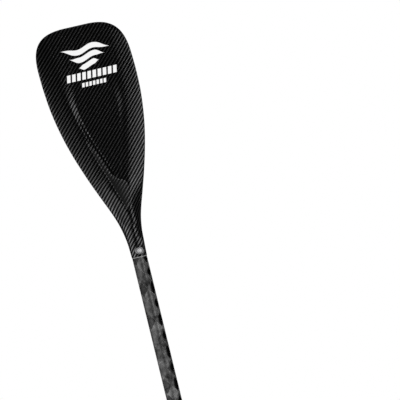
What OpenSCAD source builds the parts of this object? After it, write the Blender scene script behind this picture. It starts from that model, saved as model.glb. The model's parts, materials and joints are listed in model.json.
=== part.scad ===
// Take-apart stand-up paddle with a single blade. It stands blade up, with the power face
// towards -Y and the shaft along Z. The origin is on the shaft's axis, midway along the bare
// lower shaft. Heights inside the blade, called t, are measured up from the neck's lower end.

/* [Blade] */
// Width of the blade at its widest
blade_w = 182; // [160:1:200]
// Length from the neck's lower end to the tip
blade_len = 447; // [420:1:480]
// Backward lean of the blade from the shaft, in degrees
rake = 10; // [6:1:12]
// Thickness of the blade's edge
edge_t = 3.2; // [2.6:0.2:4]
// Thickness of the carbon skins
skin_t = 1; // [0.8:0.1:1.2]
// Outside diameter of the neck's lower end
neck_d = 28.6; // [28.4:0.1:29.2]

/* [Shafts] */
// Outside diameter of the lower shaft
shaft_d = 27.8; // [27:0.1:28]
// Length of lower shaft that shows between the neck and the clamp
grip_len = 760; // [600:10:900]
// Bore of the lower shaft and of the neck
bore_d = 24.1; // [24:0.05:24.2]
// Outside diameter of the extension shaft
ext_d = 23.7; // [23.4:0.1:23.7]
// Length of extension that shows at the shortest setting
ext_show = 270; // [200:10:320]
// Height adjustment
travel = 450; // [300:10:480]

/* [Snap button] */
// Diameter of the button
button_d = 9.2; // [8:0.1:9.4]
// Height of the button above the neck's lower end
button_t = 11; // [10:0.5:14]
// Inward travel of the button
button_press = 3.8; // [3.6:0.1:4]

/* [Clamp] */
// Length of the collar along the shaft
collar_len = 58; // [54:1:64]
// Outside diameter of the collar
collar_d = 35.2; // [34:0.2:36]
// Length of the lever along the shaft
lever_h = 26; // [22:1:28]

/* [Handle] */
// Length of the crossbar
bar_len = 108; // [96:1:120]
// Diameter of the crossbar at its middle
bar_d = 30; // [28:0.5:33]

/* [Hidden] */
$fn = 96;

gap = 0.05;
shaft_r = shaft_d / 2;
bore_r = bore_d / 2;
ext_r = ext_d / 2;
neck_r = neck_d / 2;
ring_t = 1.1;
neck_z = grip_len / 2 + ring_t + 2 * gap;
clamp_z = -grip_len / 2;

// Shares of the blade's length, and its shape along the way
wide_t = 0.816 * blade_len;
tip_t = blade_len - 0.3;
half_w = blade_w / 2;
bond_w = 1.2;
// Powers of the rounded end's outline
end_power = 2.9;
end_root = 3.6;
// Where the blade starts to lean back, and how far in from the tip its full thickness begins
lean_t = 14;
tip_round = 12;
// [from, to]: the heights over which one shape gives way to the next
lean_span = [16, 50]; // upright neck to leaning blade
edge_span = [20, 90]; // round neck to thin edge
ridge_span = [45, 105]; // round ridge to a sharper one
rail_span = [62, 125]; // one ridge to two rails
back_span = [30, 150]; // round back to a flatter one
// [share of the way to the widest place, share of the growth from neck to full width]
flare = [
    [0, 0], [0.07, 0.016], [0.13, 0.044], [0.19, 0.104], [0.25, 0.196], [0.32, 0.323],
    [0.44, 0.532], [0.57, 0.727], [0.69, 0.865], [0.82, 0.961], [0.94, 0.997], [1, 1],
];
// [t, distance of each rail's crest from the middle], and its height in front of the edge. Up to
// t = 60 the two crests are one, the ridge of the neck
crest_x = [
    [60, 0], [73, 1], [110, 8], [150, 18], [166, 23], [212, 36], [260, 48], [296, 55], [340, 59],
    [450, 62],
];
crest_h = [
    [0, 14.3], [12, 14.3], [24, 14.6], [45, 20], [70, 23], [95, 20.5], [120, 15], [145, 10],
    [165, 8.6], [200, 8], [260, 7], [336, 5], [450, 3],
];
crest_round = 1.5;
flank_power = 1.25;
ridge_power = 1.2;
back_power = 0.6;
edge_power = 6;
// [t, height of the scoop's floor], from where the scoop begins
scoop_low = 120;
floor_h = [
    [scoop_low, 15], [143, 9.6], [152, 5.6], [164, 3.6], [185, 3], [229, 2.8], [289, 2.8], [336, 3],
    [450, 3],
];
// [t, width of the band inside each crest], and of the wall between band and floor
band_w = [[120, 4], [150, 9], [161, 10], [199, 8.5], [241, 5], [300, 4], [450, 4]];
wall_w = [[120, 5], [160, 7], [229, 8], [300, 14], [400, 40], [450, 50]];
// [t, height of the back behind the edge], and of its middle rib
back_h = [
    [0, 14.3], [12, 14.3], [24, 14], [36, 12], [48, 9], [60, 6.3], [75, 5], [100, 4.7],
    [300, 4.2], [450, 3.4],
];
rib_h = [[50, 0], [110, 2.4], [200, 2], [330, 0], [450, 0]];
rib_w = 13;

// Ferrule, spring and neck
ring_r = neck_r - 0.2;
ferrule_r = bore_r - gap;
ferrule_wall = 1.6;
ferrule_low = -58;
ferrule_top = 52;
ferrule_chamfer = 1;
ferrule_plug_t = 5;
ferrule_plug_drop = 1;
socket_r = 12.95;
socket_top = 58;
socket_plug_t = 3;
button_z = neck_z + button_t;
button_r = button_d / 2;
button_len = 6.15;
button_out = bore_r + button_press - 0.25;
button_in = button_out - button_len;
button_wall = 1;
button_roof = 2.5;
dome_h = 1.2;
dome_r = (button_r * button_r + dome_h * dome_h) / (2 * dome_h);
// The hole for the button: its sizes, and how far in front of the axis it starts and ends
hole_r = button_r + 0.25;
sleeve_r = hole_r + 0.6;
bond_hole_r = sleeve_r + 0.1;
hole_near = 5;
hole_far = 20;
eyelet_w = 16;
eyelet_h = 12.4;
eyelet_in = neck_r + 0.3;
eyelet_out = eyelet_in + 0.55;
sleeve_in = bore_r + 0.3;
sleeve_out = eyelet_in + 0.1;
spring_t = 0.7;
spring_w = 8;
spring_r = 9.4;
spring_bend = -30;
spring_over = 9;
back_leg = 36;

// Clamp: the split faces +X, with an ear on each side of it and the bolt along Y
collar_low = clamp_z - collar_len;
collar_r = collar_d / 2;
collar_chamfer = 1.5;
collar_floor = 2;
collar_mouth_r = ext_r + 0.4;
seat_low = clamp_z - 26;
sanded_r = shaft_r - 0.2;
ear_root = shaft_r - 1;
ear_x = 31;
ear_y = 8;
ear_low = collar_low + 4;
ear_high = clamp_z - 16;
ear_round = 4;
slit = 2.4;
slit_x = 5;
slit_top = clamp_z - 14;
bolt_x = 23.5;
bolt_z = clamp_z - 35;
bolt_r = 2.5;
bolt_hole_r = bolt_r + 0.3;
bolt_head_r = 4.25;
bolt_head_h = 4.6;
hex_r = 2.3;
hex_floor = 2;
washer_r = 5.2;
washer_t = 1;
washer_hole_r = bolt_r + 0.2;
pad_t = 1.6;
pad_w = 13;
cam_r = 7.5;
cam_off = 1.2;
pivot_y = -(ear_y + gap + pad_t + gap + cam_r + cam_off);
barrel_r = 4;
lever_in = collar_r + 0.9;
lever_t = 3.6;
arm_h = lever_h - 4;
tip_angle = 177;
tip_bead = 0.8;
fork_x = bolt_x - 3.1;
fork_gap = 6.4;
key_w = 2.8;
key_in = 11.2;
key_h = 1.4;
bush_low = collar_low + collar_floor + gap;
bush_top = seat_low - gap;

// Extension and handle
ext_wall = 1.2;
ext_bore = ext_r - ext_wall;
ext_top = collar_low + 560;
end_bush_bore = 7;
end_bush_depth = 14;
end_bush_head = 6;
bung_drop = 80;
bung_len = 60;
mouth_z = collar_low - ext_show;
bar_z = mouth_z - 74;
ext_low = bar_z + 14;
shell_t = 2.5;
handle_plug_len = 20;
mouth_ring_r = 15.2;
mouth_ring_t = 4;
palm_t = 1.4;
palm_end = 1;
palm_low = 4;
bar_half = bar_len / 2;
bar_steps = 28;
stem_steps = 16;
stem_end = 0.94;
stem_r = 13.6;
mouth_flare = 1.3;
root_flare = 4.2;
bar_power = 3.4;
bar_root = 3.2;
groove_w = key_w + 0.4;
groove_r = key_in - 0.1;
groove_end = 0.4;
// Larger than any piece that it cuts
wide = 200;

// ---- shape functions ----

// A cubic curve through [place, value] knots, whose slope at each knot is the chord across it
function span(k, t, i = 0) = i >= len(k) - 2 || t < k[i + 1][0] ? i : span(k, t, i + 1);
function slope(k, i) =
    let (a = max(i - 1, 0), b = min(i + 1, len(k) - 1)) (k[b][1] - k[a][1]) / (k[b][0] - k[a][0]);
function curve(k, t) =
    let (i = span(k, t), w = k[i + 1][0] - k[i][0], u = max(0, min(1, (t - k[i][0]) / w)))
    let (v = u * u, c = v * u)
    (2 * c - 3 * v + 1) * k[i][1] + (c - 2 * v + u) * w * slope(k, i)
        + (3 * v - 2 * c) * k[i + 1][1] + (c - v) * w * slope(k, i + 1);
// 0 below a, 1 above b, smooth between
function ease(a, b, t) = let (u = max(0, min(1, (t - a) / (b - a)))) u * u * (3 - 2 * u);
function over(range, t) = ease(range[0], range[1], t);
// The same, but straighter in the middle
function ramp(a, b, t) = let (u = max(0, min(1, (t - a) / (b - a)))) u * (1 + u * (3 - 2 * u)) / 2;

// Half the blade's width: the flare up to the widest place, then a rounded end
function half_width(t) =
    t < wide_t
        ? neck_r + (half_w - neck_r) * curve(flare, t / wide_t)
        : half_w * pow(1 - pow((t - wide_t) / (blade_len - wide_t), end_power), 1 / end_root);
// How far the blade's edge sits behind the shaft's axis
function set_back(t) = tan(rake) * (t - lean_t) * over(lean_span, t);
// How much of its full thickness the blade keeps near its tip
function tip_fade(t) = t < wide_t ? 1 : half_width(t) / half_w;
// A bluff round edge: 0 at the very edge, 1 a few millimetres in. c is 0 at the edge
function bluff(c) = 1 - pow(1 - c, edge_power);
function tip_bluff(t) = bluff(sqrt(max(0, min(1, (tip_t - t) / tip_round))));
function edge(t) = edge_t / 2 * over(edge_span, t);

// Height over the edge's own half thickness at s from the middle: a flank that rises to each
// rail's crest, a band inside it, then the wall and floor of the scoop
function panel(t, s) =
    let (x = curve(crest_x, t), w = half_width(t), top = curve(crest_h, t) - edge(t))
    let (out = (s - x + sqrt(pow(s - x, 2) + pow(crest_round, 2))) / 2)
    let (flank = top * (1 - pow(min(1, out / max(1, w - x)), flank_power)))
    let (depth = t < scoop_low ? 0 : max(0, curve(crest_h, t) - curve(floor_h, t)))
    let (inner = x - curve(band_w, t))
    flank - depth * (1 - ramp(inner - curve(wall_w, t), inner, s));
// Height of the power face in front of the edge, at angle a across the blade: the neck's round
// ridge below, the two rails above
function front(t, a) =
    let (c = cos(a), u = over(rail_span, t))
    let (neck = (curve(crest_h, t) - edge(t)) * pow(c, 1 + ridge_power * over(ridge_span, t)))
    let (blade = panel(t, half_width(t) * abs(sin(a))))
    tip_bluff(t) * (edge(t) * bluff(c) + (neck * (1 - u) + blade * u) * tip_fade(t));
// Height of the back behind the edge
function back(t, a) =
    let (c = cos(a), p = 1 + back_power * over(back_span, t), x = half_width(t) * sin(a))
    tip_bluff(t) * (edge(t) * bluff(c) + (curve(back_h, t) - edge(t)) * tip_fade(t) * pow(c, p)
        + curve(rib_h, t) * exp(-pow(x / rib_w, 2)) * ease(0, 0.5, c));
// Skin taken off a height to reach the skin's inner face
function skin(t, a) =
    let (c = cos(a), u = over(edge_span, t)) skin_t * ((1 - u) * c + u * bluff(c)) * tip_bluff(t);
function bond(t) = skin_t + bond_w * over(edge_span, t);
// The inner face stops short of the tip by the width of the bond
function inner_t(t) =
    t < wide_t ? t : wide_t + (t - wide_t) * (tip_t - bond(t) - wide_t) / (tip_t - wide_t);
// A point of the skin: side is -1 for the power face and 1 for the back, depth 0 outside and 1 inside
function skin_point(t, a, side, depth, off = 0) =
    let (h = side < 0 ? front(t, a) : back(t, a), z = depth > 0 ? inner_t(t) : t)
    [
        (half_width(t) - depth * bond(t)) * sin(a),
        set_back(z) + side * (h - depth * skin(t, a) - off),
        z,
    ];

row_step = 12;
tip_rows = 7;
core_inset = 2;
even_end = 34 * row_step;
rows = concat(
    [for (t = [0 : row_step : even_end - row_step]) t],
    [for (u = [0 : tip_rows]) tip_t - (tip_t - even_end) * pow(1 - u / tip_rows, 2)]
);
col_step = 6;
cols = [for (a = [-90 : col_step : 90]) a];
core_rows = [for (t = rows) if (t > socket_top && t < tip_t - core_inset) t];
core_cols = [for (a = [col_step - 90 : col_step : 90 - col_step]) a];

// A closed slab between two grids of points, each a list of rows with the same number of points
module slab(a, b) {
    n = len(a[0]);
    m = len(a);
    size = n * m;
    points = concat([for (r = a) each r], [for (r = b) each r]);
    sheet = [
        for (j = [0 : m - 2], i = [0 : n - 2])
            let (p = j * n + i) each [[p, p + 1, p + n + 1], [p, p + n + 1, p + n]]
    ];
    rim = concat(
        [for (i = [0 : n - 2]) [i, i + 1]],
        [for (j = [0 : m - 2]) [j * n + n - 1, (j + 1) * n + n - 1]],
        [for (i = [n - 1 : -1 : 1]) [(m - 1) * n + i, (m - 1) * n + i - 1]],
        [for (j = [m - 1 : -1 : 1]) [j * n, (j - 1) * n]]
    );
    faces = concat(
        [for (f = sheet) [f[2], f[1], f[0]]],
        [for (f = sheet) [f[0] + size, f[1] + size, f[2] + size]],
        [for (e = rim) each [[e[0], e[1], e[1] + size], [e[0], e[1] + size, e[0] + size]]]
    );
    polyhedron(points, faces);
}

module blade_skin(side) {
    outer = [for (t = rows) [for (a = cols) skin_point(t, a, side, 0)]];
    inner = [for (t = rows) [for (a = cols) skin_point(t, a, side, 1)]];
    translate([0, 0, neck_z]) slab(side < 0 ? outer : inner, side < 0 ? inner : outer);
}

module tube(outer, inner, low, high) {
    translate([0, 0, low]) difference() {
        cylinder(r = outer, h = high - low);
        translate([0, 0, -1]) cylinder(r = inner, h = high - low + 2);
    }
}

// A cylinder along -Y, from y = -near to y = -far
module toward_front(r, near, far, sides = 96) {
    translate([0, -near, 0]) rotate([90, 0, 0]) cylinder(r = r, h = far - near, $fn = sides);
}

// ---- blade ----

module blade_face_skin() {
    color([0.05, 0.05, 0.05]) difference() {
        blade_skin(-1);
        translate([0, 0, button_z]) toward_front(bond_hole_r, hole_near, hole_far);
    }
}

module blade_back_skin() {
    color([0.06, 0.06, 0.06]) blade_skin(1);
}

module blade_core() {
    color([0.9, 0.88, 0.8]) translate([0, 0, neck_z])
        slab(
            [for (t = core_rows) [for (a = core_cols) skin_point(t, a, 1, 1, 2 * gap)]],
            [for (t = core_rows) [for (a = core_cols) skin_point(t, a, -1, 1, 2 * gap)]]
        );
}

module neck_socket() {
    color([0.15, 0.15, 0.16]) difference() {
        tube(socket_r, bore_r, neck_z, neck_z + socket_top);
        translate([0, 0, button_z]) toward_front(bond_hole_r, hole_near, hole_far);
    }
}

module socket_plug() {
    color([0.3, 0.3, 0.3]) translate([0, 0, neck_z + socket_top - socket_plug_t])
        cylinder(r = bore_r - gap, h = socket_plug_t);
}

module neck_end_ring() {
    color([0.7, 0.7, 0.7]) tube(ring_r, bore_r + gap, neck_z - ring_t - gap, neck_z - gap);
}

// A saddle-shaped oval rim with a short sleeve that lines the hole
module button_eyelet() {
    round_r = eyelet_h / 2;
    color([0.72, 0.73, 0.74]) translate([0, 0, button_z]) difference() {
        union() {
            intersection() {
                tube(eyelet_out, eyelet_in, -eyelet_h, eyelet_h);
                for (s = [-1, 1])
                    translate([s * (eyelet_w / 2 - round_r), 0, 0])
                        toward_front(round_r, hole_near, hole_far);
            }
            intersection() {
                toward_front(sleeve_r, hole_near, hole_far);
                tube(sleeve_out, sleeve_in, -eyelet_h, eyelet_h);
            }
        }
        toward_front(hole_r, hole_near - 1, hole_far + 1);
    }
}

// ---- lower shaft and its lock ----

// The end inside the collar is sanded a little thinner, for its glue
module lower_shaft() {
    color([0.3, 0.3, 0.31]) difference() {
        union() {
            translate([0, 0, clamp_z]) cylinder(r = shaft_r, h = grip_len);
            translate([0, 0, seat_low]) cylinder(r = sanded_r, h = grip_len);
        }
        translate([0, 0, seat_low - 1]) cylinder(r = bore_r, h = 2 * grip_len);
    }
}

module ferrule() {
    inner = ferrule_r - ferrule_wall;
    low = neck_z + ferrule_low;
    high = neck_z + ferrule_top;
    color([0.12, 0.12, 0.13]) difference() {
        rotate_extrude() polygon([
            [inner, low], [ferrule_r, low], [ferrule_r, high - ferrule_chamfer],
            [ferrule_r - ferrule_chamfer, high], [inner, high],
        ]);
        translate([0, 0, button_z]) toward_front(hole_r, hole_near, hole_far);
    }
}

module ferrule_plug() {
    color([0.25, 0.25, 0.26])
        translate([0, 0, neck_z + ferrule_top - ferrule_plug_drop - ferrule_plug_t])
            cylinder(r = ferrule_r - ferrule_wall - gap, h = ferrule_plug_t);
}

// A U-shaped strip: the front leg carries the button and the back leg bears on the far wall
module snap_spring() {
    inner = spring_r - spring_t;
    front_leg = button_t + spring_over - spring_bend;
    color([0.75, 0.76, 0.78]) translate([-spring_w / 2, 0, neck_z + spring_bend])
        rotate([90, 0, 90]) linear_extrude(spring_w) {
            difference() {
                circle(spring_r);
                circle(inner);
                translate([-wide / 2, 0]) square([wide, wide]);
            }
            translate([-spring_r, 0]) square([spring_t, front_leg]);
            translate([inner, 0]) square([spring_t, back_leg]);
        }
}

// A pin with a domed head, hollow behind
module snap_button() {
    color([0.86, 0.87, 0.88]) translate([0, 0, button_z]) difference() {
        intersection() {
            toward_front(button_r, button_in, button_out);
            translate([0, dome_r - button_out, 0]) sphere(dome_r, $fn = 128);
        }
        toward_front(button_r - button_wall, button_in - 1, button_out - button_roof);
    }
}

// ---- clamp ----

module ear_outline() {
    w = ear_x - ear_root;
    h = ear_high - ear_low;
    translate([ear_root, ear_low]) square([w - ear_round, h]);
    translate([ear_root, ear_low + ear_round]) square([w, h - 2 * ear_round]);
    for (z = [ear_low + ear_round, ear_high - ear_round])
        translate([ear_x - ear_round, z]) circle(ear_round);
}

module clamp_collar() {
    color([0.11, 0.11, 0.12]) difference() {
        union() {
            rotate_extrude() polygon([
                [0, collar_low], [collar_r - collar_chamfer, collar_low],
                [collar_r, collar_low + collar_chamfer], [collar_r, clamp_z - 3 * collar_chamfer],
                [collar_r - 2 * collar_chamfer, clamp_z], [0, clamp_z],
            ]);
            translate([0, ear_y, 0]) rotate([90, 0, 0]) linear_extrude(2 * ear_y) ear_outline();
        }
        translate([0, 0, collar_low + collar_floor]) cylinder(r = sanded_r + gap, h = collar_len);
        translate([0, 0, collar_low - 1]) cylinder(r = collar_mouth_r, h = collar_floor + 2);
        translate([slit_x, -slit / 2, collar_low - 1]) cube([wide, slit, slit_top - collar_low + 1]);
        translate([bolt_x, 0, bolt_z]) toward_front(bolt_hole_r, -wide / 2, wide / 2);
    }
}

// A split sleeve that makes up the step between the two shafts, with a key for the groove
module clamp_bush() {
    color([0.55, 0.56, 0.55]) difference() {
        union() {
            tube(sanded_r, ext_r + gap, bush_low, bush_top);
            translate([-key_w / 2, key_in, bush_low]) cube([key_w, key_h, bush_top - bush_low]);
        }
        translate([slit_x, -slit / 2, bush_low - 1]) cube([wide, slit, bush_top - bush_low + 2]);
    }
}

module clamp_pad() {
    color([0.6, 0.6, 0.62]) translate([0, -ear_y - gap - pad_t, 0]) difference() {
        translate([bolt_x - pad_w / 2, 0, bolt_z - lever_h / 2]) cube([pad_w, pad_t, lever_h]);
        translate([bolt_x, 0, bolt_z]) toward_front(bolt_hole_r, -wide / 2, wide / 2);
    }
}

// The cross barrel that the lever turns on, drilled for the bolt
module clamp_barrel() {
    color([0.7, 0.7, 0.72]) translate([bolt_x, pivot_y, bolt_z]) difference() {
        translate([0, 0, -lever_h / 2]) cylinder(r = barrel_r, h = lever_h);
        toward_front(bolt_r + gap, -wide / 2, wide / 2);
    }
}

module clamp_bolt() {
    head_y = ear_y + gap + washer_t + gap;
    color([0.72, 0.72, 0.74]) translate([bolt_x, 0, bolt_z]) difference() {
        union() {
            toward_front(bolt_r, -head_y - 1, barrel_r - 1 - pivot_y);
            toward_front(bolt_head_r, -head_y - bolt_head_h, -head_y);
        }
        toward_front(hex_r, -head_y - bolt_head_h - 1, -head_y - hex_floor, 6);
    }
}

module clamp_washer() {
    color([0.7, 0.7, 0.72]) translate([bolt_x, 0, bolt_z]) difference() {
        toward_front(washer_r, -ear_y - gap - washer_t, -ear_y - gap);
        toward_front(washer_hole_r, -wide / 2, wide / 2);
    }
}

// The lever hooks round the collar's front and pulls the ears together with its offset cam
module clamp_lever() {
    outer = lever_in + lever_t;
    mid = lever_in + lever_t / 2;
    color([0.13, 0.13, 0.14]) difference() {
        union() {
            translate([0, 0, bolt_z - lever_h / 2]) linear_extrude(lever_h) {
                translate([bolt_x, pivot_y + cam_off]) circle(cam_r);
            }
            translate([0, 0, bolt_z - arm_h / 2]) linear_extrude(arm_h) {
                intersection() {
                    difference() {
                        circle(outer);
                        circle(lever_in);
                    }
                    polygon([[0, 0], [24, -32], [0, -60], [-60, -60], [-60, 3]]);
                }
                polygon([[10.4, -18.8], [13.8, -12.6], [bolt_x, -11.4], [bolt_x, -24.6]]);
                rotate(tip_angle) translate([mid + tip_bead, 0]) circle(lever_t / 2 + tip_bead);
            }
        }
        translate([bolt_x, pivot_y, bolt_z - lever_h]) cylinder(r = barrel_r + gap, h = 2 * lever_h);
        translate([fork_x, pivot_y - wide / 2, bolt_z - fork_gap / 2]) cube([wide, wide, fork_gap]);
    }
}

// ---- extension ----

module extension_shaft() {
    groove_low = bush_low - groove_end;
    groove_top = bush_top + travel + groove_end;
    color([0.2, 0.2, 0.21]) difference() {
        tube(ext_r, ext_bore, ext_low, ext_top);
        translate([-groove_w / 2, groove_r, groove_low])
            cube([groove_w, ext_r, groove_top - groove_low]);
    }
}

module extension_end_bush() {
    color([0.6, 0.6, 0.58]) {
        tube(ext_bore - gap, end_bush_bore, ext_top - end_bush_depth, ext_top + gap);
        tube(bore_r - gap, end_bush_bore, ext_top + gap, ext_top + end_bush_head);
    }
}

module extension_bung() {
    color([0.85, 0.85, 0.8]) translate([0, 0, ext_top - bung_drop])
        cylinder(r = ext_bore - gap, h = bung_len);
}

// ---- handle ----

// Radius of the crossbar at x, a barrel with round ends
function bar_radius(x) =
    bar_d / 2 * pow(max(0, 1 - pow(abs(x) / bar_half, bar_power)), 1 / bar_root);

// The crossbar as a turned shape along X, drawn in by off
module bar(off, half = bar_half) {
    xs = [for (i = [0 : bar_steps]) half * cos(180 * i / bar_steps)];
    translate([0, 0, bar_z]) rotate([0, 90, 0]) rotate_extrude()
        polygon([for (x = xs) [max(0, bar_radius(x * bar_half / half) - off), -x]]);
}

// The stem flares out at the mouth and again where it runs into the crossbar
module stem() {
    stem_len = mouth_z - bar_z;
    function stem_radius(u) = stem_r + mouth_flare * pow(1 - u, 4) + root_flare * pow(u, 4);
    rotate_extrude() polygon(concat(
        [[0, mouth_z]],
        [
            for (i = [0 : stem_steps])
                let (u = stem_end * i / stem_steps) [stem_radius(u), mouth_z - u * stem_len]
        ],
        [[0, mouth_z - stem_end * stem_len]]
    ));
}

module handle_shell(side) {
    difference() {
        union() {
            stem();
            bar(0);
        }
        bar(shell_t, bar_half - shell_t);
        translate([0, 0, ext_low]) cylinder(r = ext_r + gap, h = wide);
        translate([-wide / 2, side < 0 ? -gap / 2 : gap / 2 - wide, bar_z - wide / 2])
            cube([wide, wide, wide]);
    }
}

module handle_front_shell() {
    color([0.1, 0.1, 0.11]) handle_shell(-1);
}

module handle_back_shell() {
    color([0.1, 0.1, 0.11]) handle_shell(1);
}

module handle_core() {
    color([0.8, 0.8, 0.75]) bar(shell_t + 2 * gap, bar_half - shell_t - 2 * gap);
}

module handle_plug() {
    color([0.5, 0.5, 0.5]) translate([0, 0, ext_low])
        cylinder(r = ext_bore - gap, h = handle_plug_len);
}

module handle_mouth_ring() {
    color([0.3, 0.3, 0.31])
        tube(mouth_ring_r, ext_r + gap, mouth_z + gap, mouth_z + mouth_ring_t);
}

// A soft cover on the palm's side of the crossbar
module handle_palm_pad() {
    color([0.2, 0.2, 0.2]) difference() {
        bar(-palm_t, bar_half + palm_end);
        bar(-2 * gap, bar_half + 2 * gap);
        translate([-wide / 2, -wide / 2, bar_z - palm_low]) cube([wide, wide, wide]);
    }
}

blade_face_skin();
blade_back_skin();
blade_core();
neck_socket();
socket_plug();
neck_end_ring();
button_eyelet();
lower_shaft();
ferrule();
ferrule_plug();
snap_spring();
snap_button();
clamp_collar();
clamp_bush();
clamp_pad();
clamp_barrel();
clamp_bolt();
clamp_washer();
clamp_lever();
extension_shaft();
extension_end_bush();
extension_bung();
handle_front_shell();
handle_back_shell();
handle_core();
handle_plug();
handle_mouth_ring();
handle_palm_pad();
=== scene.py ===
import json
import math

import bmesh
import bpy
import numpy as np
from mathutils import Matrix, Vector


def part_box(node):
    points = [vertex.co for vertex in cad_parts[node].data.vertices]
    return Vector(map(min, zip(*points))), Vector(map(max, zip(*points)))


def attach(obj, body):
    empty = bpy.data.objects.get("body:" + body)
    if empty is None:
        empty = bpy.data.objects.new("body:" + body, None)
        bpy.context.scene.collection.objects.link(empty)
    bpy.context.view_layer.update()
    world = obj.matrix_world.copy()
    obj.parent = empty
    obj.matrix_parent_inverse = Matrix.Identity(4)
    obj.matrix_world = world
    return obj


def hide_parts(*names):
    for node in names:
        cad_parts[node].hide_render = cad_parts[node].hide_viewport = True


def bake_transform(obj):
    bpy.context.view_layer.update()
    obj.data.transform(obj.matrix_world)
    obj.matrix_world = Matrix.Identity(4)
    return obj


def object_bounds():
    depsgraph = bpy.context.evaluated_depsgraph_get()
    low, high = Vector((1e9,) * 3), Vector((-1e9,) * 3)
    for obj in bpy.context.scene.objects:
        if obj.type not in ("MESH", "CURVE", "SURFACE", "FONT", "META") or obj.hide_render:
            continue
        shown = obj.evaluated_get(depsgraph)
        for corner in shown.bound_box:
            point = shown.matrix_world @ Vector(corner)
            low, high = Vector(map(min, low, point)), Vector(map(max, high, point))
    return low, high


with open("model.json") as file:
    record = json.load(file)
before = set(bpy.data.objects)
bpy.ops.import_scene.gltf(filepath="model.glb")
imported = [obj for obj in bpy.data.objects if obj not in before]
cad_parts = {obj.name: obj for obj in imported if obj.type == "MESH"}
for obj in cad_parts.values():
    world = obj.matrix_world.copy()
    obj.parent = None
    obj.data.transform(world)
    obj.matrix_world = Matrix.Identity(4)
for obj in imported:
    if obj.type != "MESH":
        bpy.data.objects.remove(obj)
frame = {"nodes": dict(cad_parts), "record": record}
cad_low, cad_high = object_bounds()
MM = 0.001

# ---- places and sizes, from the frame ----

GAP = 0.05 * MM  # between bonded pieces
SHAFT_LOW, SHAFT_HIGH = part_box("lower_shaft")[0].z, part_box("lower_shaft")[1].z
SHAFT_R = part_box("lower_shaft")[1].x
BORE_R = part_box("ferrule")[1].x + GAP
CLAMP_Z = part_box("clamp_collar")[1].z
EXTENSION_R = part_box("extension_shaft")[1].x
RING_LOW, RING_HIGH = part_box("neck_end_ring")[0].z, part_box("neck_end_ring")[1].z
RING_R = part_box("neck_end_ring")[1].x
NECK_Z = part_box("blade_face_skin")[0].z
BUTTON_Z = (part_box("snap_button")[0].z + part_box("snap_button")[1].z) / 2
BUTTON_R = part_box("snap_button")[1].x
BUTTON_IN, BUTTON_OUT = -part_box("snap_button")[1].y, -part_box("snap_button")[0].y
HOLE_R = BUTTON_R + 0.25 * MM
EYELET_OUT = -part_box("button_eyelet")[0].y
EYELET_W = 2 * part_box("button_eyelet")[1].x
EYELET_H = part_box("button_eyelet")[1].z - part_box("button_eyelet")[0].z
FLOOR_Z = cad_low.z

# ---- camera, at the photograph's viewing angle ----

VIEW_AZIMUTH = math.radians(-13)
VIEW_ROLL = math.radians(13.7)
VIEW_DISTANCE = 7.0
FRAME_WIDTH = 0.7405  # of the picture, at the paddle
AIM_Z = BUTTON_Z - 0.0022
AIM_RIGHT, AIM_UP = 0.1542, 0.13  # from there to the middle of the picture, in picture widths
SENSOR = 36.0


def add_camera():
    """Aims right of and above the end of the neck, with the paddle leaning to the left of the picture."""
    level = Vector((math.cos(VIEW_AZIMUTH), math.sin(VIEW_AZIMUTH), 0))
    back = Vector((math.sin(VIEW_AZIMUTH), -math.cos(VIEW_AZIMUTH), 0))
    right = math.cos(VIEW_ROLL) * level - math.sin(VIEW_ROLL) * Vector((0, 0, 1))
    up = math.sin(VIEW_ROLL) * level + math.cos(VIEW_ROLL) * Vector((0, 0, 1))
    aim = Vector((0, 0, AIM_Z)) + (right * AIM_RIGHT + up * AIM_UP) * FRAME_WIDTH
    data = bpy.data.cameras.new("camera")
    data.sensor_width = SENSOR
    data.lens = SENSOR * VIEW_DISTANCE / FRAME_WIDTH
    camera = bpy.data.objects.new("camera", data)
    turn = Matrix((right, up, back)).transposed().to_4x4()
    camera.matrix_world = Matrix.Translation(aim + back * VIEW_DISTANCE) @ turn
    bpy.context.scene.collection.objects.link(camera)
    bpy.context.scene.camera = camera


add_camera()

# ---- material graphs ----


class Value:
    """A node's output. Arithmetic on it adds Math nodes, and a comparison is 1 where it holds and else 0."""

    def __init__(self, graph, socket):
        self.graph = graph
        self.socket = socket

    def __add__(self, other):
        return self.graph.math("ADD", self, other)

    __radd__ = __add__

    def __sub__(self, other):
        return self.graph.math("SUBTRACT", self, other)

    def __rsub__(self, other):
        return self.graph.math("SUBTRACT", other, self)

    def __neg__(self):
        return self * -1.0

    def __mul__(self, other):
        return self.graph.math("MULTIPLY", self, other)

    def __truediv__(self, other):
        return self.graph.math("DIVIDE", self, other)

    def __mod__(self, other):
        return self.graph.math("FLOORED_MODULO", self, other)

    def __pow__(self, other):
        return self.graph.math("POWER", self, other)

    def __lt__(self, other):
        return self.graph.math("LESS_THAN", self, other)

    def __abs__(self):
        return self.graph.math("ABSOLUTE", self)

    def floor(self):
        return self.graph.math("FLOOR", self)

    def fract(self):
        return self.graph.math("FRACT", self)

    def sine(self):
        return self.graph.math("SINE", self)

    def at_least(self, other):
        return self.graph.math("MAXIMUM", self, other)

    def at_most(self, other):
        return self.graph.math("MINIMUM", self, other)


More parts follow.
